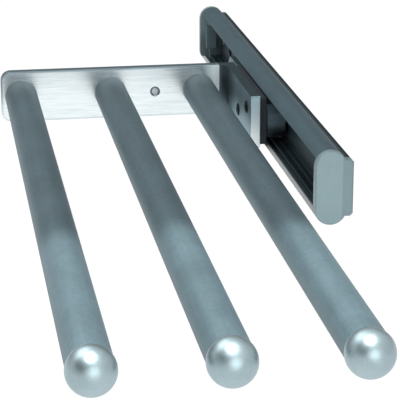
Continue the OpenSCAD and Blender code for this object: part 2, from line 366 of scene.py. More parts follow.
@dataclass(frozen=True)
class Anodised(Finish):
    """Matt anodised aluminium: blasted grain over faint lines from the extrusion die."""

    colour: Colour
    metallic: float = 0.3
    roughness: float = 0.5
    drift: float = 0.16  # how far the colour drifts to dark and to light
    contrast: tuple[float, float] = (0.36, 0.64)
    cloud: Grain = Grain(38.0)
    mottle: Grain = Grain(420.0, rough=0.6)
    grain: Grain = Grain(1700.0, 2.0, 0.6)
    line: Grain = Grain(900.0, 2.0)
    speck: Grain = Grain(620.0, 4.0, 0.7)
    line_depth: float = 0.006 * MM
    grain_depth: float = 0.02 * MM
    tint: Colour = (0.80, 0.93, 0.97)
    worn: Colour = (0.62, 0.68, 0.70)
    worn_share: float = 0.35
    # painted shade: the colour that the base and the part towards a root are darkened to
    painted_shade: Colour = (0.028, 0.043, 0.052)
    base_shade_beyond: float | None = None  # X where painted shade on the base begins
    base_shade_fade: float = 3.0 * MM
    base_shade_share: float = 0.9
    lip_z: float | None = None  # Z of the middle of the lower lip, painted as lit: pale and not metallic
    lip_halves: tuple[float, float] = (0.6 * MM, 1.0 * MM)
    lip_front: tuple[float, float] = (-13.0 * MM, -12.0 * MM)
    # painted light: the pale colour of the lower lip, standing in for the light that falls on it
    lit_lip: Colour = (0.96, 0.98, 0.99)
    root: float | None = None  # Y of a root towards which painted shade darkens the piece
    root_shade_length: float = 75.0 * MM
    root_shade_share: float = 0.47
    shaded_below: float | None = None  # Z below which painted shade darkens the piece
    lower_shade_fade: tuple[float, float] = (2.5 * MM, -1.5 * MM)
    # colour of the painted shade on the lower part of the piece
    dark_patch: Colour = (0.006, 0.009, 0.011)
    lower_shade_share: float = 0.85

    def marked(self, shade: Shade, colour: Socket) -> tuple[Socket, Value | float]:
        """Adds what only a part of a piece has: painted shade on base, root and lower part, and
        painted light on the lip.

        Args:
            shade: The material.
            colour: Its colour without them.

        Returns:
            The colour with them, and how metallic it is.
        """
        x, y, z = shade.axes()
        metal = self.metallic
        # painted shade on the base strip beside the wall
        if self.base_shade_beyond is not None:
            start = (self.base_shade_beyond - self.base_shade_fade) / MM
            base = x.step(start, (self.base_shade_beyond + self.base_shade_fade) / MM)
            colour = shade.mix(self.base_shade_share * base, colour, self.painted_shade)
        # painted light on the lower lip
        if self.lip_z is not None:
            full, gone = self.lip_halves
            lip = abs(z - self.lip_z / MM).step(gone / MM, full / MM)
            lip = lip * x.step(self.lip_front[1] / MM, self.lip_front[0] / MM)
            colour = shade.mix(lip, colour, self.lit_lip)
            metal = self.metallic - self.metallic * lip
        # painted shade towards the root
        if self.root is not None:
            root_shade = y.step((self.root - self.root_shade_length) / MM, self.root / MM)
            colour = shade.mix(self.root_shade_share * root_shade, colour, self.painted_shade)
        # painted shade on the lower part
        if self.shaded_below is not None:
            start, full = (self.shaded_below + fade for fade in self.lower_shade_fade)
            dark_patch = z.step(start / MM, full / MM)
            colour = shade.mix(self.lower_shade_share * dark_patch, colour, self.dark_patch)
        return colour, metal

    def sockets(self, shade: Shade) -> dict:
        """See base class."""
        here = shade.place()
        cloud = shade.noise(here, self.cloud)
        mottle = shade.noise(here, self.mottle)
        grain = shade.noise(here, self.grain)
        line = shade.noise(shade.place(Run.ALONG_Y.value), self.line)
        speck = shade.noise(here, self.speck).step(0.69, 0.76)
        dark = tuple(c * (1 - self.drift) for c in self.colour)
        light = tuple(min(1.0, c * (1 + self.drift)) for c in self.colour)
        tone = 0.34 * cloud + 0.26 * mottle + 0.2 * grain + 0.2 * line
        colour = shade.mix(tone.step(*self.contrast), dark, light)
        colour = shade.mix(self.worn_share * speck, colour, self.worn)
        colour, metal = self.marked(shade, colour)
        rough = self.roughness + 0.1 * (cloud - 0.5) + 0.08 * (line - 0.5) - 0.06 * speck
        normal = shade.bump(line, self.line_depth)
        normal = shade.bump(grain, self.grain_depth, 0.8, normal)
        return {
            "Base Color": colour,
            "Roughness": rough,
            "Metallic": metal,
            "Specular Tint": (*self.tint, 1.0),
            "Normal": normal,
        }


@dataclass(frozen=True)
class BrushedPlate(Finish):
    """Aluminium strip: the plate is bright and brushed with painted shade on its rim, the flange is
    satin.
    """

    half_height: float
    left: float
    corner: float
    flange_x: float
    flange_tip_y: float
    front_y: float
    stud_x: float
    ring: tuple[float, float]
    colour: Colour = (0.83, 0.895, 0.91)
    dark: Colour = (0.67, 0.755, 0.785)
    tint: Colour = (0.88, 0.96, 1.0)
    roughness: float = 0.23
    contrast: tuple[float, float] = (0.34, 0.6)
    brushing: Grain = Grain(2600.0, 2.0, 0.6)
    streak: Grain = Grain(420.0, rough=0.6)
    cloud: Grain = Grain(45.0, 2.0)
    scratch: Grain = Grain(1300.0, 1.0)
    drawing: Grain = Grain(420.0, 2.0, 0.6)
    brush_depth: float = 0.02 * MM
    scratch_depth: float = -0.003 * MM
    # painted shade: the darker colour along the plate's rounded outline and towards its top
    rim: Colour = (0.19, 0.27, 0.305)
    rim_shade_width: tuple[float, float] = (0.3 * MM, 1.5 * MM)  # where the painted rim shade begins to fade, and ends
    # painted shade: the dark ring around the stud, standing in for the shade in its countersink
    ring_shade: Colour = (0.06, 0.08, 0.09)
    satin: Colour = (0.32, 0.44, 0.48)
    satin_roughness: float = 0.5
    fillet: float = 4.0 * MM
    # painted shade: the colour of the flange's upper edge
    top_shade: Colour = (0.035, 0.052, 0.062)
    # painted shade: the colour of the corner at the bend
    shaded: Colour = (0.05, 0.066, 0.082)
    shaded_to: tuple[float, float] = (10.0 * MM, 30.0 * MM)  # painted corner shade: where it begins to fade, and ends, from the plate
    # painted shade: the cut end face darker towards its top
    cut_top_shade: Colour = (0.54, 0.70, 0.75)
    cut_end: Colour = (0.93, 1.0, 1.0)
    # painted highlight: the pale, barely metallic zone of the plate just before the bend
    bright: Colour = (0.84, 0.97, 1.0)
    highlight_to: tuple[float, float] = (2.0 * MM, 9.0 * MM)  # painted highlight: where it begins to fade, and ends, from the flange

    def inset(self, x: Value, z: Value) -> Value:
        """How far a point lies inside the plate's rounded outline, up to the corner radius.

        Args:
            x: The point's X in millimetres.
            z: The point's Z in millimetres.

        Returns:
            The distance in millimetres.
        """
        corner = self.corner / MM
        aside = (corner - (x - self.left / MM)).at_least(0.0)
        above = (corner - (self.half_height / MM - abs(z))).at_least(0.0)
        return corner - (aside * aside + above * above) ** 0.5

    def plate_colour(self, shade: Shade, tone: Value, scratch: Value, rim: Value) -> Socket:
        """Colours the bright plate, the painted shade on its rim and towards its top, and a ring of
        painted shade around the stud.

        Args:
            shade: The material.
            tone: The brushing, from dark to light.
            scratch: Where it is scratched.
            rim: Where the painted rim shade shows.

        Returns:
            The colour.
        """
        x, _, z = shade.axes()
        # painted shade: a dark ring around the stud
        aside = x - self.stud_x / MM
        from_stud = (aside * aside + z * z) ** 0.5
        inner, outer = (radius / MM for radius in self.ring)
        ring = from_stud.step(inner - 0.1, inner) * from_stud.step(outer + 0.25, outer)
        colour = shade.mix(tone.step(*self.contrast), self.dark, self.colour)
        colour = shade.mix(0.4 * scratch, colour, self.dark)
        # painted shade: the plate darker towards its top
        colour = shade.mix(0.2 * z.step(2.0, 12.5), colour, self.rim)
        colour = shade.mix(rim, colour, self.rim)
        return shade.mix(0.85 * ring, colour, self.ring_shade)

    def flange_colour(self, shade: Shade, tone: Value, face: Value, upper: Value) -> Socket:
        """Colours the satin flange, with painted shade on its upper edge and in the corner at the
        bend.

        Args:
            shade: The material.
            tone: The brushing, from dark to light.
            face: 1 in front of the plate.
            upper: 1 on the upper edge.

        Returns:
            The colour.
        """
        _, y, _ = shade.axes()
        drawn = shade.noise(shade.place(Run.ALONG_Z.value), self.drawing)
        dark = tuple(0.8 * c for c in self.satin)
        colour = shade.mix((0.5 * drawn + 0.5 * tone).step(0.42, 0.58), dark, self.satin)
        # painted shade on the upper edge
        colour = shade.mix(0.9 * upper, colour, self.top_shade)
        # painted shade in the corner at the bend
        near, far = ((self.front_y - reach) / MM for reach in self.shaded_to)
        corner = face * (1.0 - upper) * y.step(far, near)
        return shade.mix(0.8 * corner, colour, self.shaded)

    def sockets(self, shade: Shade) -> dict:
        """See base class."""
        fine = shade.noise(shade.place(Run.ALONG_XY.value), self.brushing)
        broad = shade.noise(shade.place((0.1, 0.1, 1.0)), self.streak)
        cloud = shade.noise(shade.place(), self.cloud)
        scratch = shade.noise(shade.place((0.05, 0.05, 1.0)), self.scratch).step(0.70, 0.78)
        tone = 0.45 * fine + 0.3 * broad + 0.25 * cloud
        # Masks: 1 inside a zone, with their soft edges in millimetres.
        x, y, z = shade.axes()
        tip, front, top = self.flange_tip_y / MM, self.front_y / MM, self.half_height / MM
        bend = (self.flange_x - self.fillet) / MM
        face = y.step(front + 0.6, front + 0.2)
        upper = z.step(top - 0.4, top - 0.1)
        strip = x.step(bend - 0.1, bend + 0.4)
        flange = strip * y.step(tip + 0.1, tip + 0.4)
        cut = strip * y.step(tip + 0.4, tip + 0.1)
        # painted highlight on the plate just before the bend
        near, far = (bend - reach / MM for reach in self.highlight_to)
        bend_highlight = x.step(far, near) * (1.0 - strip) * z.step(-13.0, 4.0) * face * (1.0 - upper)
        # painted shade along the plate's rounded outline, stronger towards the top
        full, gone = (width / MM for width in self.rim_shade_width)
        rim = self.inset(x, z).step(gone, full) * (0.3 + 0.6 * z.step(-10.0, 6.0))
        colour = self.plate_colour(shade, tone, scratch, rim)
        colour = shade.mix(flange, colour, self.flange_colour(shade, tone, face, upper))
        # the milled end's colour, with painted shade darker towards its top
        milled_and_shaded = shade.mix(z.step(-9.0, 12.0), self.cut_end, self.cut_top_shade)
        colour = shade.mix(cut, colour, milled_and_shaded)
        colour = shade.mix(0.9 * bend_highlight, colour, self.bright)
        rough = self.roughness + 0.1 * (fine - 0.5) + 0.08 * (broad - 0.5) + 0.2 * rim
        rough = rough + strip * (self.satin_roughness - self.roughness) + 0.2 * cut
        normal = shade.bump(fine, self.brush_depth)
        normal = shade.bump(scratch, self.scratch_depth, 0.6, normal)
        return {
            "Base Color": colour,
            "Roughness": rough,
            "Metallic": 1.0 - 0.85 * bend_highlight,
            "Specular Tint": (*self.tint, 1.0),
            "Normal": normal,
        }


@dataclass(frozen=True)
class TurnedSatin(Finish):
    """Satin metal with the fine rings of a lathe about an axis along Y."""

    colour: Colour
    dark: Colour
    centre: tuple[float, float, float] = (0.0, 0.0, 0.0)
    roughness: float = 0.3
    rings: float = 2.2  # to a millimetre of radius
    contrast: tuple[float, float] = (0.36, 0.62)
    turned: Grain = Grain(1.0, rough=0.7)
    cloud: Grain = Grain(120.0)
    grain: Grain = Grain(2400.0, 2.0)
    nick: Grain = Grain(520.0, 2.0, 0.8)
    depth: float = 0.006 * MM

    def sockets(self, shade: Shade) -> dict:
        """See base class."""
        here = shade.place()
        x, _, z = shade.axes(shade.place(IN_MM, self.centre))
        radius = (x * x + z * z) ** 0.5
        spot = shade.node("ShaderNodeCombineXYZ", None, {0: radius * self.rings}).outputs[0]
        turned = shade.noise(spot, self.turned)
        cloud = shade.noise(here, self.cloud)
        grain = shade.noise(here, self.grain)
        nick = shade.noise(here, self.nick).step(0.71, 0.76)
        tone = 0.4 * turned + 0.35 * cloud + 0.25 * grain
        colour = shade.mix(tone.step(*self.contrast), self.dark, self.colour)
        colour = shade.mix(0.4 * nick, colour, self.dark)
        rough = self.roughness + 0.14 * (cloud - 0.5) + 0.1 * (turned - 0.5) + 0.1 * nick
        normal = shade.bump(turned, self.depth)
        normal = shade.bump(grain, self.depth, 0.8, normal)
        return {"Base Color": colour, "Roughness": rough, "Metallic": 1.0, "Normal": normal}


@dataclass(frozen=True)
class Moulded(Finish):
    """Moulded plastic or rubber with a fine eroded grain and a rubbed bloom."""

    colour: Colour
    bloom: Colour
    roughness: float = 0.5
    scale: float = 1400.0
    depth: float = 0.03 * MM
    contrast: tuple[float, float] = (0.36, 0.64)
    cloud: Grain = Grain(55.0)
    rubbing: Grain = Grain(240.0, 4.0, 0.7)
    specular: float = 0.5
    tint: Colour = (0.80, 0.94, 1.0)
    bloom_share: float = 0.3
    deep_share: float = 0.35  # what is left of the colour under the fullest painted shade
    base_shade_from: float | None = None  # X where painted shade on the base begins
    shaded_within: float | None = None  # distance along Y within which painted shade darkens the piece, more towards the bottom

    def marked(self, shade: Shade, colour: Socket) -> Socket:
        """Adds what only a part of a piece has: painted shade on its base and on its inner side.

        Args:
            shade: The material.
            colour: Its colour without them.

        Returns:
            The colour with them.
        """
        x, y, z = shade.axes()
        deep = tuple(c * self.deep_share for c in self.colour)
        # painted shade on the base strip, darker towards its edge
        if self.base_shade_from is not None:
            start = self.base_shade_from / MM
            beyond = 0.3 * x.step(start - 0.6, start + 0.2)
            beyond = beyond + 0.35 * x.step(start + 3.6, start + 4.3)
            colour = shade.mix(beyond, colour, deep)
        # painted shade on the inner side, darker towards the bottom
        if self.shaded_within is not None:
            end = self.shaded_within / MM
            shaded = abs(y).step(end + 0.3, end + 0.1)
            colour = shade.mix(shaded * (0.4 + 0.55 * z.step(6.0, -5.0)), colour, deep)
        return colour

    def sockets(self, shade: Shade) -> dict:
        """See base class."""
        here = shade.place()
        cloud = shade.noise(here, self.cloud)
        grain = shade.noise(here, Grain(self.scale, rough=0.65))
        rub = shade.noise(shade.place((1.0, 0.25, 1.0)), self.rubbing).step(0.56, 0.74)
        dark = tuple(c * 0.9 for c in self.colour)
        tone = 0.6 * cloud + 0.4 * grain
        colour = shade.mix(tone.step(*self.contrast), dark, self.colour)
        colour = shade.mix(self.bloom_share * rub, colour, self.bloom)
        colour = self.marked(shade, colour)
        rough = self.roughness + 0.12 * (grain - 0.5) - 0.1 * rub + 0.06 * (cloud - 0.5)
        normal = shade.bump(grain, self.depth)
        return {
            "Base Color": colour,
            "Roughness": rough,
            "Metallic": 0.0,
            "Specular IOR Level": self.specular,
            "Specular Tint": (*self.tint, 1.0),
            "Normal": normal,
        }


@dataclass(frozen=True)
class PlatedSteel(Finish):
    """Rolled steel sheet or wire under a thin plating, with blotches and rolling lines."""

    colour: Colour
    blotch: Colour
    roughness: float = 0.38
    metallic: float = 1.0
    specular: float = 0.5
    tint: Colour = (0.80, 0.94, 1.0)
    contrast: tuple[float, float] = (0.38, 0.62)
    spangle: Grain = Grain(330.0, 4.0, 0.65)
    rolling: Grain = Grain(1500.0, rough=0.6)
    dark_patch: Grain = Grain(110.0)

    def sockets(self, shade: Shade) -> dict:
        """See base class."""
        spangle = shade.noise(shade.place(), self.spangle)
        roll = shade.noise(shade.place(Run.ALONG_Y.value), self.rolling)
        dark_patch = shade.noise(shade.place((1.0, 0.2, 1.0)), self.dark_patch).step(0.52, 0.72)
        tone = 0.55 * spangle + 0.45 * roll
        colour = shade.mix(tone.step(*self.contrast), self.blotch, self.colour)
        greased = tuple(c * 0.55 for c in self.blotch)
        colour = shade.mix(0.35 * dark_patch, colour, greased)
        rough = self.roughness + 0.2 * (spangle - 0.5) + 0.12 * (roll - 0.5) - 0.1 * dark_patch
        normal = shade.bump(roll, 0.012 * MM)
        normal = shade.bump(spangle, 0.01 * MM, 0.7, normal)
        return {
            "Base Color": colour,
            "Roughness": rough,
            "Metallic": self.metallic,
            "Specular IOR Level": self.specular,
            "Specular Tint": (*self.tint, 1.0),
            "Normal": normal,
        }


def new_piece(name: str, bm: bmesh.types.BMesh) -> bpy.types.Object:
    """Makes an object of a finished bmesh.

    Args:
        name: The piece's name.
        bm: The mesh, which is freed.

    Returns:
        The new object, at the origin.
    """
    mesh = bpy.data.meshes.new(name)
    bm.to_mesh(mesh)
    bm.free()
    mesh.shade_smooth()
    mesh.set_sharp_from_angle(angle=SMOOTH_BELOW)
    made = bpy.data.objects.new(name, mesh)
    bpy.context.scene.collection.objects.link(made)
    flat = made.modifiers.new("flat_faces", "WEIGHTED_NORMAL")
    flat.weight, flat.keep_sharp = 100, True
    return made


def turned_ring(
    name: str, inner: float, outer: float, ends: tuple[float, float], axis: Vector, edge: float
) -> bpy.types.Object:
    """Turns a rectangle about an axis along Y and rounds its edges.

    Args:
        name: The piece's name.
        inner: Radius of its bore.
        outer: Radius outside.
        ends: Where it starts and ends along Y.
        axis: A point on the axis.
        edge: Radius of its rounded edges.

    Returns:
        The new object.
    """
    bm = bmesh.new()
    corners = [(inner, ends[0]), (outer, ends[0]), (outer, ends[1]), (inner, ends[1])]
    verts = [bm.verts.new((axis.x + r, y, axis.z)) for r, y in corners]
    edges = [bm.edges.new((verts[i], verts[(i + 1) % 4])) for i in range(4)]
    bmesh.ops.spin(
        bm,
        geom=verts + edges,
        cent=(axis.x, 0.0, axis.z),
        axis=(0.0, 1.0, 0.0),
        angle=math.tau,
        steps=ROUND_STEPS,
        use_merge=True,
    )
    bmesh.ops.remove_doubles(bm, verts=bm.verts, dist=WELD)
    bmesh.ops.recalc_face_normals(bm, faces=bm.faces)
    round_edges(bm, edge, 2)
    return new_piece(name, bm)


def round_edges(
    bm: bmesh.types.BMesh, width: float, segments: int, choose: Chooser | None = None
) -> None:
    """Rounds the sharp edges of a closed mesh.

    Args:
        bm: The mesh.
        width: Width of the rounding.
        segments: Faces across it.
        choose: Says whether a sharp edge is rounded. Without it, all of them are.
    """
    sharp = (e for e in bm.edges if len(e.link_faces) == 2 and e.calc_face_angle() > SHARP_ABOVE)
    bmesh.ops.bevel(
        bm,
        geom=[e for e in sharp if choose is None or choose(e)],
        offset=width,
        offset_type="OFFSET",
        segments=segments,
        profile=0.5,
        affect="EDGES",
        clamp_overlap=True,
        material=-1,
        loop_slide=True,
    )


def is_straight(edge: bmesh.types.BMEdge) -> bool:
    """True for the straight edges of a bar or block, not for those of its round holes."""
    return edge.calc_length() > 2.0 * MM


def dress(
    piece: bpy.types.Object, material: bpy.types.Material, body: str = ""
) -> None:
    """Gives a piece its finish, and a new piece its body, which a CAD node has.

    Args:
        piece: The piece or CAD node.
        material: Its material.
        body: The body that a new piece rides on.
    """
    piece.data.materials.clear()
    piece.data.materials.append(material)
    if body:
        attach(piece, body)
    LOG.info("%s: %s, %d faces", piece.name, material.name, len(piece.data.polygons))


@dataclass
class Assembly:
    """CAD nodes by name, and the body that their new pieces ride on."""

    nodes: dict[str, bpy.types.Object]
    body: ClassVar[str] = "carriage"

    def soften(
        self,
        node: str,
        name: str,
        material: bpy.types.Material,
        slot: str,
        width: float,
        segments: int = 2,
        choose: Chooser | None = None,
    ) -> None:
        """Replaces a CAD node by a copy with the edges rounded that its maker would break.

        Args:
            node: The CAD node's name.
            name: The new piece's name.
            material: Its finish.
            slot: The record's material slot; not used.
            width: Width of the rounding.
            segments: Faces across it.
            choose: Says whether a sharp edge is rounded. Without it, all of them are.
        """
        bm = bmesh.new()
        bm.from_mesh(self.nodes[node].data)
        bmesh.ops.remove_doubles(bm, verts=bm.verts, dist=CAD_WELD)
        bmesh.ops.dissolve_limit(bm, angle_limit=FLAT_BELOW, verts=bm.verts, edges=bm.edges)
        round_edges(bm, width, segments, choose)
        made = new_piece(name, bm)
        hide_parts(node)
        dress(made, material, self.body)


@dataclass
class Arm(Assembly):
    """One arm: a tube, its ball end and the plug in its root."""

    name: str
    tube_radius: float = 8.0 * MM
    bore_radius: float = 6.8 * MM
    ball_radius: float = 8.548 * MM
    spigot_radius: float = 6.75 * MM
    spigot_length: float = 14.0 * MM
    edge: float = 0.25 * MM

    def axis(self) -> Vector:
        """A point on the arm's axis, at the front end of its tube."""
        low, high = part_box(f"{self.name}_arm_tube")
        return Vector(((low.x + high.x) / 2, low.y, (low.z + high.z) / 2))

    def tube(self) -> bpy.types.Object:
        """Builds the tube, with its ends broken.

        Returns:
            The new object.
        """
        low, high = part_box(f"{self.name}_arm_tube")
        made = turned_ring(
            f"{self.name}_tube",
            self.bore_radius,
            self.tube_radius,
            (low.y, high.y),
            self.axis(),
            self.edge,
        )
        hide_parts(f"{self.name}_arm_tube")
        return made

    def ball(self) -> bpy.types.Object:
        """Builds the ball: a sphere cut flat at the tube, with a neck and a spigot.

        Returns:
            The new object.
        """
        at = self.axis()
        set_in = math.sqrt(self.ball_radius**2 - self.tube_radius**2)
        bm = bmesh.new()
        bmesh.ops.create_uvsphere(
            bm, u_segments=ROUND_STEPS, v_segments=64, radius=self.ball_radius
        )
        upright = Matrix.Rotation(math.pi / 2, 3, "X")
        bmesh.ops.rotate(bm, verts=bm.verts, cent=(0, 0, 0), matrix=upright)
        bmesh.ops.translate(bm, verts=bm.verts, vec=(at.x, at.y - set_in, at.z))
        cut = bmesh.ops.bisect_plane(
            bm,
            geom=bm.verts[:] + bm.edges[:] + bm.faces[:],
            dist=BALL_WELD,
            plane_co=at,
            plane_no=(0, 1, 0),
            clear_outer=True,
        )
        rim = [e for e in cut["geom_cut"] if isinstance(e, bmesh.types.BMEdge)]
        for radius_share, step in (
            (self.spigot_radius / self.tube_radius, 0.0),
            (1.0, self.spigot_length - self.edge),
            (1 - self.edge / self.spigot_radius, self.edge),
        ):
            out = bmesh.ops.extrude_edge_only(bm, edges=rim)["geom"]
            ring = [v for v in out if isinstance(v, bmesh.types.BMVert)]
            rim = [e for e in out if isinstance(e, bmesh.types.BMEdge)]
            bmesh.ops.scale(
                bm,
                verts=ring,
                vec=(radius_share, 1.0, radius_share),
                space=Matrix.Translation(-at),
            )
            bmesh.ops.translate(bm, verts=ring, vec=(0, step, 0))
        bmesh.ops.edgeloop_fill(bm, edges=rim)
        bmesh.ops.remove_doubles(bm, verts=bm.verts, dist=BALL_WELD)
        bmesh.ops.recalc_face_normals(bm, faces=bm.faces)
        made = new_piece(f"{self.name}_ball", bm)
        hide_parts(f"{self.name}_ball_end")
        return made

    def build(self, tube_material: bpy.types.Material, plug_material: bpy.types.Material) -> None:
        """Builds and dresses the arm.

        Args:
            tube_material: The finish that all tubes share.
            plug_material: The finish that all root plugs share.
        """
        tube, ball = self.tube(), self.ball()
        satin = TurnedSatin(
            f"{self.name}_ball_satin",
            colour=(0.40, 0.505, 0.535),
            dark=(0.33, 0.43, 0.46),
            centre=tuple(self.axis()),
            roughness=0.42,
        )
        dress(tube, tube_material, self.body)
        dress(ball, satin.material(), self.body)
        dress(self.nodes[f"{self.name}_root_plug"], plug_material)


@dataclass
class ArmSet(Assembly):
    """The three arms, with the screws and washers behind the plate."""

    names: tuple[str, ...] = ("inner", "middle", "outer")
    head_edge: float = 0.3 * MM
    washer_edge: float = 0.2 * MM

    def build(self) -> None:
        """Builds and dresses all arms and their fasteners."""
        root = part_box("middle_arm_tube")[1].y
        # painted shade darkens the tubes towards their roots at the plate
        tube = Anodised("tube_matt", (0.133, 0.199, 0.226), root=root).material()
        plug = Anodised("plug_turned", (0.60, 0.61, 0.62), metallic=0.9).material()
        steel = PlatedSteel(
            "screw_zinc", (0.62, 0.64, 0.66), (0.46, 0.49, 0.52), roughness=0.34
        ).material()
        for name in self.names:
            Arm(self.nodes, name).build(tube, plug)
        self.soften(
            "arm_screws", "arm_screw_heads", steel, "screw_steel", self.head_edge, 2, self.on_head
        )
        self.soften("arm_washers", "arm_washer_rings", steel, "screw_steel", self.washer_edge)

    @staticmethod
    def on_head(edge: bmesh.types.BMEdge) -> bool:
        """True for a long edge square to the screw, as on the outer rim of its head."""
        square = abs(edge.verts[0].co.y - edge.verts[1].co.y) < WELD
        return square and edge.calc_length() > 0.4 * MM


@dataclass
class Bracket(Assembly):
    """The L-shaped bracket with its two flange screws and the buffer behind its plate."""

    half_height: float = 12.8 * MM
    thickness: float = 4.6 * MM
    corner: float = 5.0 * MM
    ring: float = 0.65 * MM
    edge: float = 0.4 * MM
    screw_edge: float = 0.12 * MM
    rubber_edge: float = 0.8 * MM
    stud_edge: float = 0.3 * MM

    def build(self) -> None:
        """Builds and dresses the bracket and what it carries."""
        low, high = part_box("arm_bracket")
        stud_low, stud_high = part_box("buffer_stud")
        stud_r = (stud_high.x - stud_low.x) / 2
        bright = BrushedPlate(
            "bracket_brushed",
            half_height=self.half_height,
            left=low.x,
            corner=self.corner,
            flange_x=high.x - self.thickness,
            flange_tip_y=low.y,
            front_y=high.y - self.thickness,
            stud_x=(stud_low.x + stud_high.x) / 2,
            ring=(stud_r, stud_r + self.ring),
        ).material()
        self.soften(
            "arm_bracket", "bracket", bright, "bracket_satin", self.edge, 3, self.is_outline
        )
        black = PlatedSteel(
            "screw_black",
            (0.012, 0.024, 0.028),
            (0.008, 0.015, 0.018),
            roughness=0.5,
            metallic=0.4,
            specular=0.15,
        ).material()
        self.soften(
            "bracket_screws", "flange_screws", black, "black_screw", self.screw_edge, 1, self.is_rim
        )
        rubber = Moulded(
            "buffer_rubber", (0.03, 0.03, 0.033), (0.07, 0.07, 0.075), roughness=0.62, scale=900.0
        ).material()
        self.soften(
            "plate_buffer", "plate_rubber", rubber, "rubber", self.rubber_edge, 3, self.is_rear_rim
        )
        stud = PlatedSteel(
            "stud_zinc", (0.42, 0.48, 0.51), (0.3, 0.36, 0.39), roughness=0.3
        ).material()
        self.soften("buffer_stud", "stud", stud, "screw_steel", self.stud_edge)

    def is_outline(self, edge: bmesh.types.BMEdge) -> bool:
        """True for the outer edges of plate and flange, not for those of their holes."""
        middle = (edge.verts[0].co + edge.verts[1].co) / 2
        low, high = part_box("arm_bracket")
        on_top = abs(abs(middle.z) - high.z) < TOUCH
        in_plate = middle.y > high.y - self.thickness - TOUCH
        rounded_end = in_plate and middle.x < low.x + self.corner + TOUCH
        front = middle.y < low.y + TOUCH
        return on_top or rounded_end or front

    @staticmethod
    def is_rim(edge: bmesh.types.BMEdge) -> bool:
        """True for the outer rim of a flange screw's head."""
        on_face = all(v.co.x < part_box("bracket_screws")[0].x + TOUCH for v in edge.verts)
        return on_face and edge.calc_length() < 0.5 * MM

    @staticmethod
    def is_rear_rim(edge: bmesh.types.BMEdge) -> bool:
        """True for the outer rim of the rubber buffer's free face."""
        low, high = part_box("plate_buffer")
        reach = math.hypot(edge.verts[0].co.x - (low.x + high.x) / 2, edge.verts[0].co.z)
        return all(v.co.y > high.y - TOUCH for v in edge.verts) and reach > 5.0 * MM


@dataclass
class Rail(Assembly):
    """The fixed rail: profile, end caps, end buffers and the riveted runner."""

    body: ClassVar[str] = "rail"
    base: float = 4.6 * MM
    mouth: float = 12.4 * MM
    lip: float = 0.8 * MM
    cap_edge: float = 0.9 * MM
    lip_edge: float = 0.25 * MM
    runner_edge: float = 0.2 * MM
    stop_edge: float = 0.4 * MM

    def build(self) -> None:
        """Builds and dresses the rail's pieces."""
        silver = Anodised(
            "rail_anodised",
            (0.097, 0.157, 0.183),
            # painted shade on the base strip beside the wall
            base_shade_beyond=-self.base,
            # painted light on the lower lip of the mouth
            lip_z=-(self.mouth + self.lip / 2),
        ).material()
        self.soften(
            "rail_profile", "rail", silver, "rail_aluminium", self.lip_edge, 2, self.is_long
        )
        # painted shade on the caps' base strip and on their inner sides
        plastic = Moulded(
            "cap_plastic",
            (0.316, 0.438, 0.470),
            (0.385, 0.50, 0.53),
            roughness=0.42,
            scale=1100.0,
            base_shade_from=-self.base,
            shaded_within=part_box("rail_profile")[1].y,
        ).material()
        for end in ("front", "rear"):
            node, name = f"{end}_end_cap", f"{end}_cap"
            self.soften(node, name, plastic, "cap_plastic", self.cap_edge, 3, self.is_outer_face)
        self.build_runner()
        rubber = Moulded(
            "stop_rubber",
            (0.14, 0.20, 0.22),
            (0.17, 0.23, 0.25),
            roughness=0.6,
            scale=900.0,
            specular=0.1,
        ).material()
        for end in ("front", "rear"):
            node, name = f"{end}_buffer", f"{end}_stop"
            self.soften(node, name, rubber, "rubber", self.stop_edge, 3, is_straight)

    def build_runner(self) -> None:
        """Builds and dresses the runner: its web, its two ball tracks and its rivets."""
        steel = PlatedSteel(
            "runner_steel",
            (0.030, 0.048, 0.058),
            (0.017, 0.027, 0.033),
            roughness=0.5,
            metallic=0.4,
            specular=0.12,
        ).material()
        for node, name in (
            ("fixed_runner", "runner"),
            ("upper_ball_track", "upper_track"),
            ("lower_ball_track", "lower_track"),
        ):
            self.soften(node, name, steel, "runner_steel", self.runner_edge, 2, self.is_long)
        rivet = PlatedSteel(
            "rivet_steel", (0.42, 0.44, 0.46), (0.30, 0.32, 0.34), roughness=0.4
        ).material()
        dress(self.nodes["runner_rivets"], rivet)

    @staticmethod
    def is_long(edge: bmesh.types.BMEdge) -> bool:
        """True for an edge that runs the length of the rail."""
        return abs(edge.verts[0].co.y - edge.verts[1].co.y) > 20.0 * MM

    @staticmethod
    def is_outer_face(edge: bmesh.types.BMEdge) -> bool:
        """True for the rim of an end cap's outer face."""
        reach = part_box("rear_end_cap")[1].y
        return all(abs(v.co.y) > reach - TOUCH for v in edge.verts)


@dataclass
class Carriage(Assembly):
    """What runs in the rail: the bar, the spacer in the mouth, the ball cage and its balls."""

    bar_edge: float = 0.3 * MM
    spacer_edge: float = 0.4 * MM
    # Z below which painted shade darkens the bar's lower part
    lower_shade_level: float = -2.5 * MM

    def build(self) -> None:
        """Builds and dresses the running pieces."""
        # painted shade darkens the bar's lower part
        drawn = Anodised(
            "bar_drawn", (0.125, 0.19, 0.225), metallic=0.4, shaded_below=self.lower_shade_level
        ).material()
        self.soften("carriage_bar", "bar", drawn, "bar_aluminium", self.bar_edge, 2, is_straight)
        black = Moulded(
            "spacer_plastic",
            (0.048, 0.058, 0.07),
            (0.065, 0.08, 0.095),
            scale=1200.0,
            specular=0.1,
        ).material()
        self.soften(
            "carriage_spacer", "spacer", black, "spacer_plastic", self.spacer_edge, 3, is_straight
        )
        cage = PlatedSteel(
            "cage_zinc", (0.50, 0.47, 0.38), (0.38, 0.36, 0.30), roughness=0.4
        ).material()
        dress(self.nodes["ball_cage"], cage)
        polished = PlatedSteel(
            "ball_steel", (0.80, 0.81, 0.83), (0.70, 0.72, 0.74), roughness=0.14
        ).material()
        dress(self.nodes["bearing_balls"], polished)


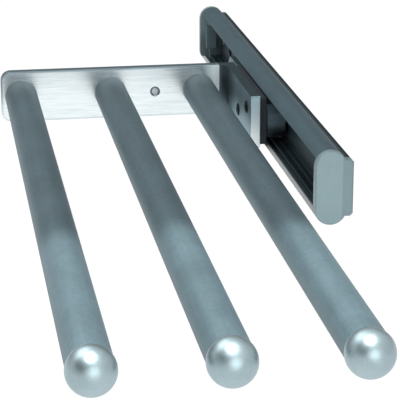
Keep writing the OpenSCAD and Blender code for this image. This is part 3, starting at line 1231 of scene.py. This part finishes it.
def hang(light: bpy.types.Light, at: Sequence[float], aim: Sequence[float]) -> None:
    """Hangs a lamp and turns it to the point it faces.

    Args:
        light: The lamp's data.
        at: Where it hangs.
        aim: The point it faces.
    """
    made = bpy.data.objects.new(light.name, light)
    made.location = at
    made.rotation_mode = "QUATERNION"
    made.rotation_quaternion = (Vector(aim) - Vector(at)).to_track_quat("-Z", "Y")
    bpy.context.scene.collection.objects.link(made)


@dataclass(frozen=True)
class SoftLamp:
    """A large oval lamp."""

    name: str
    at: tuple[float, float, float]
    aim: tuple[float, float, float]
    sides: tuple[float, float]
    watts: float

    def light(self) -> None:
        """Makes and hangs the lamp."""
        made = bpy.data.lights.new(self.name, "AREA")
        made.shape = "ELLIPSE"
        made.size, made.size_y = self.sides
        made.energy = self.watts
        hang(made, self.at, self.aim)


@dataclass(frozen=True)
class SpotLamp:
    """The lamp over the arms' front ends, whose edge crosses all three tubes."""

    name: str = "pool"
    at: tuple[float, float, float] = (-0.22, -0.62, 1.7)
    aim: tuple[float, float, float] = (-0.092, -0.482, 0.0)
    watts: float = 145.0
    degrees: float = 17.8
    blend: float = 0.04
    radius: float = 0.012

    def light(self) -> None:
        """Makes and hangs the lamp."""
        made = bpy.data.lights.new(self.name, "SPOT")
        made.energy = self.watts
        made.spot_size = math.radians(self.degrees)
        made.spot_blend = self.blend
        made.shadow_soft_size = self.radius
        hang(made, self.at, self.aim)


@dataclass
class Studio:
    """Camera, lamps, floor and surroundings."""

    camera_at: tuple[float, float, float] = (-0.17422, -0.83756, 0.21878)
    yaw: float = 9.0736
    pitch: float = 17.689
    focal_pixels: float = 1762.5
    picture: float = 400.0
    sensor: float = 36.0
    floor_height: float = -0.45
    floor_radius: float = 14.0
    floor_glow: float = 0.8  # share of the floor that shows as plain white
    floor_haze: float = 0.16
    ambient: float = 0.37  # gathered from the surroundings behind the rail, on the left
    ambient_right: float = 0.13
    before: float = 0.92  # gathered from in front
    behind: float = 0.2  # what reflections show of the wall behind the rail
    gap_way: tuple[float, float, float] = (-0.59, -0.405, 0.698)
    gap_degrees: tuple[float, float] = (26.0, 41.0)  # dark up to, white from
    lamps: tuple[SoftLamp | SpotLamp, ...] = (
        SoftLamp("overhead", (-0.50, 0.18, 0.76), (-0.10, -0.20, 0.0), (0.9, 0.5), 3.0),
        SoftLamp("front_key", (0.05, -1.65, 0.36), (-0.07, -0.1, 0.0), (1.15, 1.0), 6.2),
        SpotLamp(),
    )

    def camera(self) -> None:
        """Puts the camera where the photograph was taken."""
        lens = bpy.data.cameras.new("camera")
        lens.sensor_width = self.sensor
        lens.lens = self.focal_pixels / self.picture * self.sensor
        lens.clip_start, lens.clip_end = 0.01, 50.0
        made = bpy.data.objects.new("camera", lens)
        made.location = self.camera_at
        made.rotation_euler = (math.radians(90 - self.pitch), 0.0, math.radians(-self.yaw))
        bpy.context.scene.collection.objects.link(made)
        bpy.context.scene.camera = made

    def surroundings(self) -> None:
        """White, but reflections see a dark wall behind the rail and a gap beside the lens."""
        world = bpy.data.worlds.new("surroundings")
        bpy.context.scene.world = world
        shade = Shade(world)
        path = shade.node("ShaderNodeLightPath")
        glossy = Value(shade, path.outputs["Is Glossy Ray"])
        way = shade.node("ShaderNodeTexCoord").outputs["Generated"]
        side, depth, up = shade.axes(way)
        around = self.ambient + (self.ambient_right - self.ambient) * side.step(-0.7, 0.6)
        gathered = around + (self.before - around) * depth.step(0.1, -0.5)
        wall = depth.step(0.45, 0.8) * up.step(0.0, 0.06) * up.step(0.68, 0.48)
        toward = shade.node(
            "ShaderNodeVectorMath", {"operation": "DOT_PRODUCT"}, {0: way, 1: self.gap_way}
        )
        full, gone = (math.cos(math.radians(degrees)) for degrees in self.gap_degrees)
        gap = Value(shade, toward.outputs["Value"]).step(gone, full)
        mirrored = (1.0 - (1.0 - self.behind) * wall) * (1.0 - gap)
        shown = 1.0 - glossy * (1.0 - mirrored)
        level = gathered + shade.seen() * (shown - gathered)
        light = shade.node("ShaderNodeBackground", None, {"Strength": level})
        shade.node("ShaderNodeOutputWorld", None, {"Surface": light.outputs[0]})

    def floor(self) -> None:
        """A pale floor far below the rail, which shows as white and keeps its shadow."""
        bm = bmesh.new()
        bmesh.ops.create_circle(
            bm, cap_ends=True, segments=ROUND_STEPS, radius=self.floor_radius
        )
        bmesh.ops.translate(bm, verts=bm.verts, vec=(0, 0, self.floor_height))
        made = new_piece("floor", bm)
        shade = Shade.named("floor_pale")
        cloud = shade.noise(shade.place(), Grain(3.0, 2.0))
        colour = shade.mix(cloud.step(0.3, 0.7), (0.80, 0.80, 0.80), (0.84, 0.84, 0.84))
        lit = shade.node("ShaderNodeBsdfDiffuse", None, {"Color": colour})
        glow = shade.node("ShaderNodeEmission", None, {"Strength": 1.0})
        keeps_shadow = shade.node(
            "ShaderNodeMixShader",
            None,
            {0: self.floor_glow, 1: lit.outputs[0], 2: glow.outputs[0]},
        )
        haze = shade.node("ShaderNodeEmission", None, {"Strength": self.floor_haze})
        both = shade.node(
            "ShaderNodeAddShader", None, {0: keeps_shadow.outputs[0], 1: haze.outputs[0]}
        )
        mixed = shade.node(
            "ShaderNodeMixShader", None, {0: shade.seen(), 1: lit.outputs[0], 2: both.outputs[0]}
        )
        shade.node("ShaderNodeOutputMaterial", None, {"Surface": mixed.outputs[0]})
        made.data.materials.append(shade.owner)

    def build(self) -> None:
        """Sets up the whole picture."""
        self.camera()
        self.surroundings()
        self.floor()
        for lamp in self.lamps:
            lamp.light()
        bpy.context.scene.view_settings.view_transform = "Standard"


def main() -> None:
    """Loads the frame, dresses it and sets up its picture."""
    logging.basicConfig(level=logging.INFO, format="%(name)s: %(message)s")
    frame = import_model()
    nodes = frame["nodes"]
    Studio().build()
    Rail(nodes).build()
    Carriage(nodes).build()
    Bracket(nodes).build()
    ArmSet(nodes).build()


if __name__ == "__main__":
    main()
